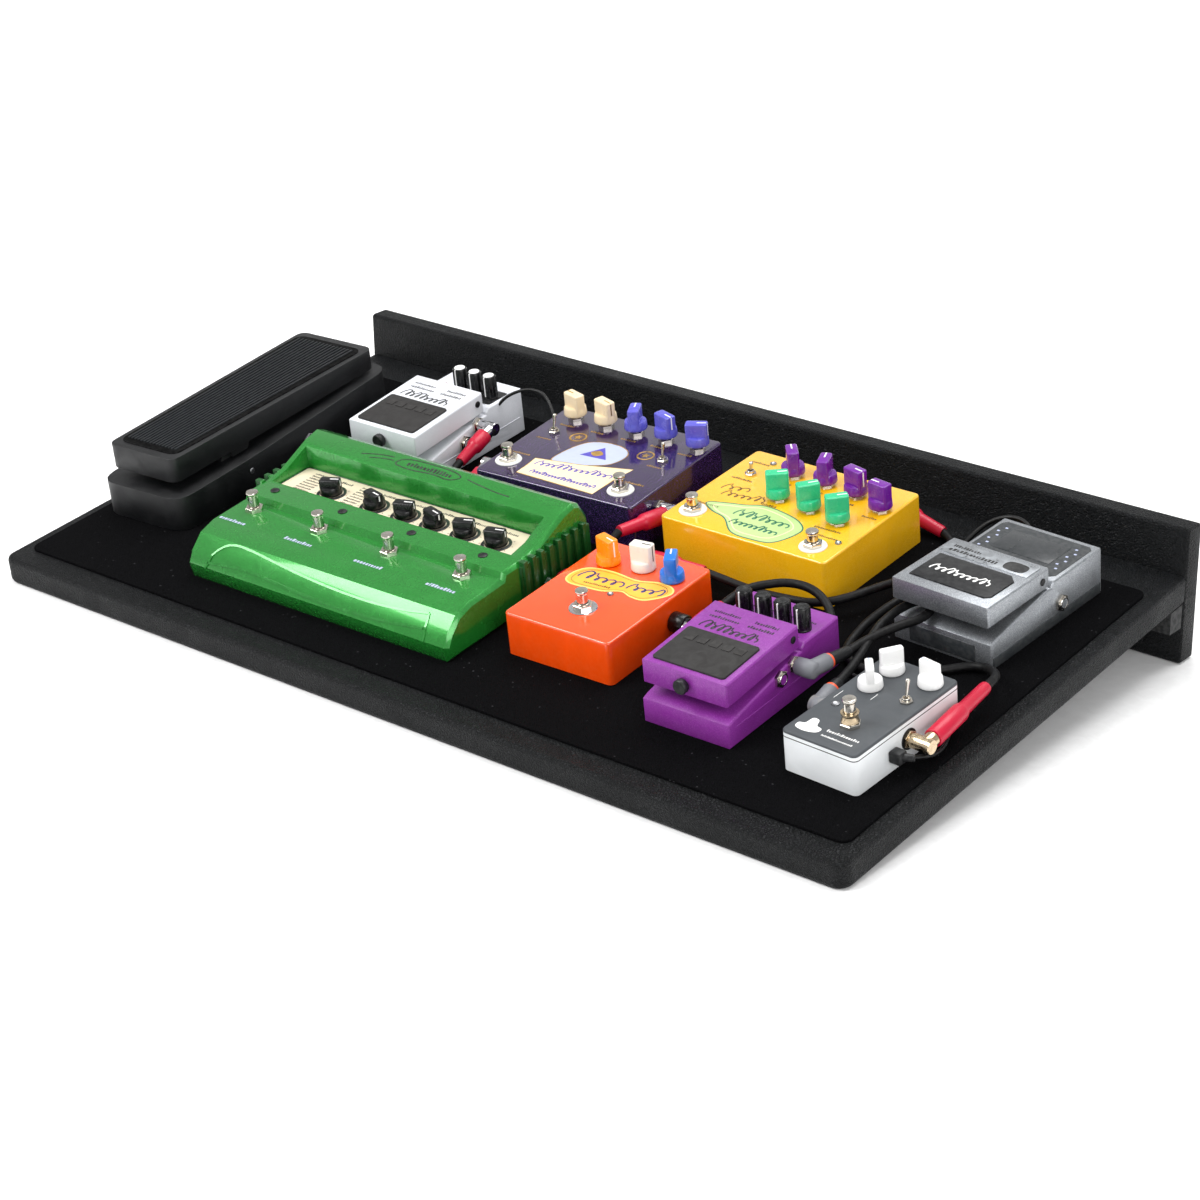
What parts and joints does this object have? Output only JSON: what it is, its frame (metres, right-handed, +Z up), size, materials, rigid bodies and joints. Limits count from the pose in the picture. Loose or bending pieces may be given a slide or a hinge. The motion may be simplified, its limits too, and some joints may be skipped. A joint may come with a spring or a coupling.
{
  "type": "pedalboard",
  "caption": "Low sloping pedalboard with a stop rail along its back and a set of effect pedals, a rocker pedal and patch leads on its hook-and-loop carpet.",
  "frame": {"origin": "on the floor, below the middle of the board's footprint", "axes": "+X along the board to the player's right, +Y away from the player and up the slope, +Z up"},
  "size_m": [0.8, 0.4424, 0.1257],
  "materials": {
    "deck_vinyl": "black vinyl with a leather grain",
    "loop_carpet": "near-black loop carpet",
    "cleat_black": "matt black",
    "wah_black": "satin black, ribbed rubber mat",
    "green_paint": "metallic green, glossy",
    "pearl_paint": "white, fine texture",
    "violet_paint": "violet, fine texture",
    "silver_paint": "silver, fine texture",
    "aubergine_paint": "dark purple glitter, glossy",
    "yellow_paint": "yellow, glossy",
    "orange_paint": "orange, glossy",
    "white_paint": "white, satin, grey top",
    "switch_nickel": "bright nickel",
    "knob_black": "black, white pointer line",
    "knob_cream": "cream",
    "knob_periwinkle": "periwinkle blue",
    "knob_plum": "plum",
    "knob_mint": "mint green",
    "knob_amber": "amber",
    "knob_white": "white",
    "knob_blue": "bright blue",
    "cable_black": "black jacket, crimson and grey plugs"
  },
  "bodies": {
    "board": {"deck_board": "deck_vinyl", "hook_carpet": "loop_carpet", "wah_base": "wah_black", "green_case": "green_paint", "white_case": "pearl_paint", "violet_case": "violet_paint", "tuner_case": "silver_paint", "purple_case": "aubergine_paint", "yellow_case": "yellow_paint", "orange_case": "orange_paint", "mini_case": "white_paint", "tuner_mini_lead": "cable_black", "mini_violet_lead": "cable_black", "violet_orange_lead": "cable_black", "orange_yellow_lead": "cable_black", "purple_white_lead": "cable_black", "back_rail": "deck_vinyl", "rail_cleat": "cleat_black"},
    "wah_treadle": {"wah_treadle": "wah_black"},
    "green_footswitch_1": {"green_footswitch_1": "switch_nickel"},
    "green_footswitch_2": {"green_footswitch_2": "switch_nickel"},
    "green_footswitch_3": {"green_footswitch_3": "switch_nickel"},
    "green_footswitch_4": {"green_footswitch_4": "switch_nickel"},
    "green_knob_1": {"green_knob_1": "knob_black"},
    "green_knob_2": {"green_knob_2": "knob_black"},
    "green_knob_3": {"green_knob_3": "knob_black"},
    "green_knob_4": {"green_knob_4": "knob_black"},
    "green_knob_5": {"green_knob_5": "knob_black"},
    "green_knob_6": {"green_knob_6": "knob_black"},
    "white_treadle": {"white_treadle": "pearl_paint"},
    "violet_treadle": {"violet_treadle": "violet_paint"},
    "tuner_treadle": {"tuner_treadle": "silver_paint"},
    "purple_footswitch_1": {"purple_footswitch_1": "switch_nickel"},
    "purple_footswitch_2": {"purple_footswitch_2": "switch_nickel"},
    "purple_knob_1": {"purple_knob_1": "knob_cream"},
    "purple_knob_2": {"purple_knob_2": "knob_cream"},
    "purple_knob_3": {"purple_knob_3": "knob_periwinkle"},
    "purple_knob_4": {"purple_knob_4": "knob_periwinkle"},
    "purple_knob_5": {"purple_knob_5": "knob_periwinkle"},
    "purple_toggle_1": {"purple_toggle_1": "switch_nickel"},
    "purple_toggle_2": {"purple_toggle_2": "switch_nickel"},
    "yellow_footswitch_1": {"yellow_footswitch_1": "switch_nickel"},
    "yellow_footswitch_2": {"yellow_footswitch_2": "switch_nickel"},
    "yellow_knob_1": {"yellow_knob_1": "knob_plum"},
    "yellow_knob_2": {"yellow_knob_2": "knob_plum"},
    "yellow_knob_3": {"yellow_knob_3": "knob_plum"},
    "yellow_knob_4": {"yellow_knob_4": "knob_plum"},
    "yellow_knob_5": {"yellow_knob_5": "knob_mint"},
    "yellow_knob_6": {"yellow_knob_6": "knob_mint"},
    "yellow_knob_7": {"yellow_knob_7": "knob_mint"},
    "yellow_toggle": {"yellow_toggle": "switch_nickel"},
    "orange_footswitch": {"orange_footswitch": "switch_nickel"},
    "orange_knob_1": {"orange_knob_1": "knob_amber"},
    "orange_knob_2": {"orange_knob_2": "knob_white"},
    "orange_knob_3": {"orange_knob_3": "knob_blue"},
    "mini_footswitch": {"mini_footswitch": "switch_nickel"},
    "mini_knob_1": {"mini_knob_1": "knob_white"},
    "mini_knob_2": {"mini_knob_2": "knob_white"},
    "mini_knob_3": {"mini_knob_3": "knob_white"},
    "mini_toggle": {"mini_toggle": "switch_nickel"}
  },
  "joints": [
    {"name": "wah_treadle_rock", "type": "hinge", "parent": "board", "child": "wah_treadle", "pos_m": [-0.38593, -0.05177, 0.08071], "axis": [0.9985, 0.0537, 0.0062], "range_deg": [0, 6.5]},
    {"name": "green_footswitch_1_press", "type": "slide", "parent": "board", "child": "green_footswitch_1", "axis": [0, 0.1149, -0.9934], "range_m": [0, 0.003], "stiffness_N_per_m": 1500, "springref_m": -0.002},
    {"name": "green_footswitch_2_press", "type": "slide", "parent": "board", "child": "green_footswitch_2", "axis": [0, 0.1149, -0.9934], "range_m": [0, 0.003], "stiffness_N_per_m": 1500, "springref_m": -0.002},
    {"name": "green_footswitch_3_press", "type": "slide", "parent": "board", "child": "green_footswitch_3", "axis": [0, 0.1149, -0.9934], "range_m": [0, 0.003], "stiffness_N_per_m": 1500, "springref_m": -0.002},
    {"name": "green_footswitch_4_press", "type": "slide", "parent": "board", "child": "green_footswitch_4", "axis": [0, 0.1149, -0.9934], "range_m": [0, 0.003], "stiffness_N_per_m": 1500, "springref_m": -0.002},
    {"name": "green_knob_1_turn", "type": "hinge", "parent": "board", "child": "green_knob_1", "pos_m": [-0.1862, -0.06851, 0.07676], "axis": [0, -0.1149, 0.9934], "range_deg": [-85, 215]},
    {"name": "green_knob_2_turn", "type": "hinge", "parent": "board", "child": "green_knob_2", "pos_m": [-0.1412, -0.06804, 0.07681], "axis": [0, -0.1149, 0.9934], "range_deg": [-48, 252]},
    {"name": "green_knob_3_turn", "type": "hinge", "parent": "board", "child": "green_knob_3", "pos_m": [-0.10971, -0.06772, 0.07685], "axis": [0, -0.1149, 0.9934], "range_deg": [-78, 222]},
    {"name": "green_knob_4_turn", "type": "hinge", "parent": "board", "child": "green_knob_4", "pos_m": [-0.08071, -0.06741, 0.07688], "axis": [0, -0.1149, 0.9934], "range_deg": [-46, 254]},
    {"name": "green_knob_5_turn", "type": "hinge", "parent": "board", "child": "green_knob_5", "pos_m": [-0.05021, -0.0671, 0.07692], "axis": [0, -0.1149, 0.9934], "range_deg": [-82, 218]},
    {"name": "green_knob_6_turn", "type": "hinge", "parent": "board", "child": "green_knob_6", "pos_m": [-0.01971, -0.06678, 0.07696], "axis": [0, -0.1149, 0.9934], "range_deg": [-76, 224]},
    {"name": "white_treadle_press", "type": "hinge", "parent": "board", "child": "white_treadle", "pos_m": [-0.2502, 0.09139, 0.10432], "axis": [1, 0.0052, 0.0006], "range_deg": [0, 2.5], "stiffness_Nm_per_rad": 8, "springref_deg": -6.88},
    {"name": "violet_treadle_press", "type": "hinge", "parent": "board", "child": "violet_treadle", "pos_m": [0.18719, -0.08206, 0.08425], "axis": [0.9999, 0.0104, 0.0012], "range_deg": [0, 2.5], "stiffness_Nm_per_rad": 8, "springref_deg": -6.88},
    {"name": "tuner_treadle_press", "type": "hinge", "parent": "board", "child": "tuner_treadle", "pos_m": [0.27337, 0.08214, 0.09811], "axis": [0.9983, -0.0572, -0.0066], "range_deg": [0, 2.5], "stiffness_Nm_per_rad": 8, "springref_deg": -6.88},
    {"name": "purple_footswitch_1_press", "type": "slide", "parent": "board", "child": "purple_footswitch_1", "axis": [0, 0.1149, -0.9934], "range_m": [0, 0.003], "stiffness_N_per_m": 1500, "springref_m": -0.002},
    {"name": "purple_footswitch_2_press", "type": "slide", "parent": "board", "child": "purple_footswitch_2", "axis": [0, 0.1149, -0.9934], "range_m": [0, 0.003], "stiffness_N_per_m": 1500, "springref_m": -0.002},
    {"name": "purple_knob_1_turn", "type": "hinge", "parent": "board", "child": "purple_knob_1", "pos_m": [-0.09892, 0.12009, 0.1016], "axis": [0, -0.1149, 0.9934], "range_deg": [-225, 75]},
    {"name": "purple_knob_2_turn", "type": "hinge", "parent": "board", "child": "purple_knob_2", "pos_m": [-0.06947, 0.12183, 0.1018], "axis": [0, -0.1149, 0.9934], "range_deg": [-45, 255]},
    {"name": "purple_knob_3_turn", "type": "hinge", "parent": "board", "child": "purple_knob_3", "pos_m": [-0.04052, 0.12354, 0.102], "axis": [0, -0.1149, 0.9934], "range_deg": [-178, 122]},
    {"name": "purple_knob_4_turn", "type": "hinge", "parent": "board", "child": "purple_knob_4", "pos_m": [-0.01208, 0.12522, 0.10219], "axis": [0, -0.1149, 0.9934], "range_deg": [-45, 255]},
    {"name": "purple_knob_5_turn", "type": "hinge", "parent": "board", "child": "purple_knob_5", "pos_m": [0.01899, 0.12506, 0.10217], "axis": [0, -0.1149, 0.9934], "range_deg": [-88, 212]},
    {"name": "purple_toggle_1_flip", "type": "hinge", "parent": "board", "child": "purple_toggle_1", "pos_m": [-0.09935, 0.0934, 0.10113], "axis": [0.9982, 0.0589, 0.0068], "range_deg": [0, 24]},
    {"name": "purple_toggle_2_flip", "type": "hinge", "parent": "board", "child": "purple_toggle_2", "pos_m": [0.0072, 0.0957, 0.10139], "axis": [0.9982, 0.0589, 0.0068], "range_deg": [0, 24]},
    {"name": "yellow_footswitch_1_press", "type": "slide", "parent": "board", "child": "yellow_footswitch_1", "axis": [0, 0.1149, -0.9934], "range_m": [0, 0.003], "stiffness_N_per_m": 1500, "springref_m": -0.002},
    {"name": "yellow_footswitch_2_press", "type": "slide", "parent": "board", "child": "yellow_footswitch_2", "axis": [0, 0.1149, -0.9934], "range_m": [0, 0.003], "stiffness_N_per_m": 1500, "springref_m": -0.002},
    {"name": "yellow_knob_1_turn", "type": "hinge", "parent": "board", "child": "yellow_knob_1", "pos_m": [0.10935, 0.12513, 0.10218], "axis": [0, -0.1149, 0.9934], "range_deg": [-192, 108]},
    {"name": "yellow_knob_2_turn", "type": "hinge", "parent": "board", "child": "yellow_knob_2", "pos_m": [0.13885, 0.12523, 0.10219], "axis": [0, -0.1149, 0.9934], "range_deg": [-172, 128]},
    {"name": "yellow_knob_3_turn", "type": "hinge", "parent": "board", "child": "yellow_knob_3", "pos_m": [0.16886, 0.12186, 0.1018], "axis": [0, -0.1149, 0.9934], "range_deg": [-48, 252]},
    {"name": "yellow_knob_4_turn", "type": "hinge", "parent": "board", "child": "yellow_knob_4", "pos_m": [0.19739, 0.11202, 0.10067], "axis": [0, -0.1149, 0.9934], "range_deg": [-232, 68]},
    {"name": "yellow_knob_5_turn", "type": "hinge", "parent": "board", "child": "yellow_knob_5", "pos_m": [0.12147, 0.08941, 0.09805], "axis": [0, -0.1149, 0.9934], "range_deg": [-98, 202]},
    {"name": "yellow_knob_6_turn", "type": "hinge", "parent": "board", "child": "yellow_knob_6", "pos_m": [0.15199, 0.08604, 0.09766], "axis": [0, -0.1149, 0.9934], "range_deg": [-110, 190]},
    {"name": "yellow_knob_7_turn", "type": "hinge", "parent": "board", "child": "yellow_knob_7", "pos_m": [0.1815, 0.08068, 0.09704], "axis": [0, -0.1149, 0.9934], "range_deg": [-105, 195]},
    {"name": "yellow_toggle_flip", "type": "hinge", "parent": "board", "child": "yellow_toggle", "pos_m": [0.0799, 0.11082, 0.10314], "axis": [1, 0.0035, 0.0004], "range_deg": [0, 24]},
    {"name": "orange_footswitch_press", "type": "slide", "parent": "board", "child": "orange_footswitch", "axis": [0, 0.1149, -0.9934], "range_m": [0, 0.003], "stiffness_N_per_m": 1500, "springref_m": -0.002},
    {"name": "orange_knob_1_turn", "type": "hinge", "parent": "board", "child": "orange_knob_1", "pos_m": [0.0673, -0.04293, 0.0777], "axis": [0, -0.1149, 0.9934], "range_deg": [-45, 255]},
    {"name": "orange_knob_2_turn", "type": "hinge", "parent": "board", "child": "orange_knob_2", "pos_m": [0.09517, -0.03729, 0.07835], "axis": [0, -0.1149, 0.9934], "range_deg": [-68, 232]},
    {"name": "orange_knob_3_turn", "type": "hinge", "parent": "board", "child": "orange_knob_3", "pos_m": [0.12323, -0.03959, 0.07809], "axis": [0, -0.1149, 0.9934], "range_deg": [-182, 118]},
    {"name": "mini_footswitch_press", "type": "slide", "parent": "board", "child": "mini_footswitch", "axis": [0, 0.1149, -0.9934], "range_m": [0, 0.003], "stiffness_N_per_m": 1500, "springref_m": -0.002},
    {"name": "mini_knob_1_turn", "type": "hinge", "parent": "board", "child": "mini_knob_1", "pos_m": [0.32497, -0.0845, 0.06987], "axis": [0, -0.1149, 0.9934], "range_deg": [-188, 112]},
    {"name": "mini_knob_2_turn", "type": "hinge", "parent": "board", "child": "mini_knob_2", "pos_m": [0.3261, -0.06069, 0.07263], "axis": [0, -0.1149, 0.9934], "range_deg": [-114, 186]},
    {"name": "mini_knob_3_turn", "type": "hinge", "parent": "board", "child": "mini_knob_3", "pos_m": [0.35756, -0.06216, 0.07246], "axis": [0, -0.1149, 0.9934], "range_deg": [-230, 70]},
    {"name": "mini_toggle_flip", "type": "hinge", "parent": "board", "child": "mini_toggle", "pos_m": [0.35584, -0.08823, 0.07206], "axis": [0.9989, -0.0468, -0.0054], "range_deg": [0, 24]}
  ]
}
